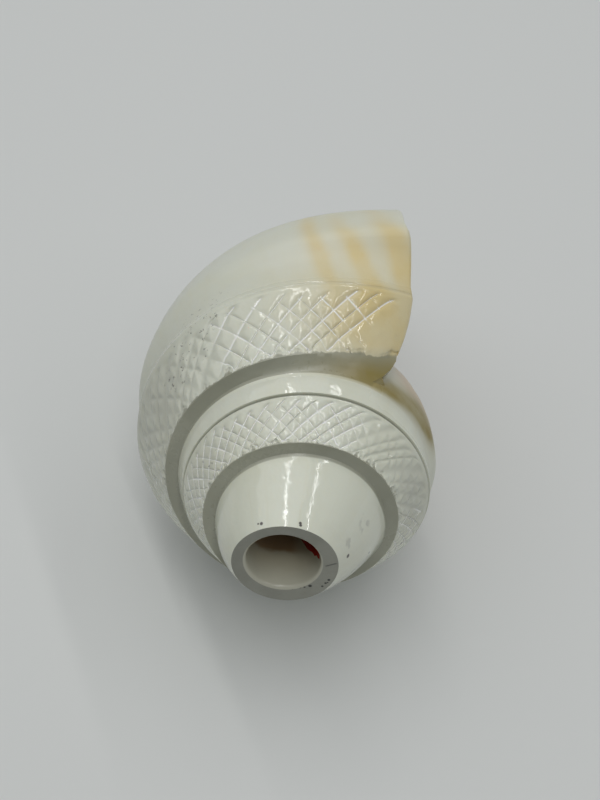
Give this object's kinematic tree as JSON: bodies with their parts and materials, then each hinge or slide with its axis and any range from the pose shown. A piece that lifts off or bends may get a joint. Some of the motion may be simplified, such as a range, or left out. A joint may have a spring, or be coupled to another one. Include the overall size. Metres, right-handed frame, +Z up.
{
  "type": "conch shell",
  "caption": "Carved, polished white conch lying on its flank, with a sawn and bored spire tip, cross-hatched carved bands, a flared lip and a coiled hollow open from tip to mouth.",
  "frame": {"origin": "under the middle of the shell as it lies, on the surface it rests on", "axes": "+Z up, -Y toward the sawn spire tip, +Y toward the canal end, +X toward the lip and mouth"},
  "size_m": [0.0712, 0.1198, 0.0752],
  "materials": {
    "shell": "polished"
  },
  "bodies": {
    "root": {"shell": "shell"}
  },
  "joints": []
}
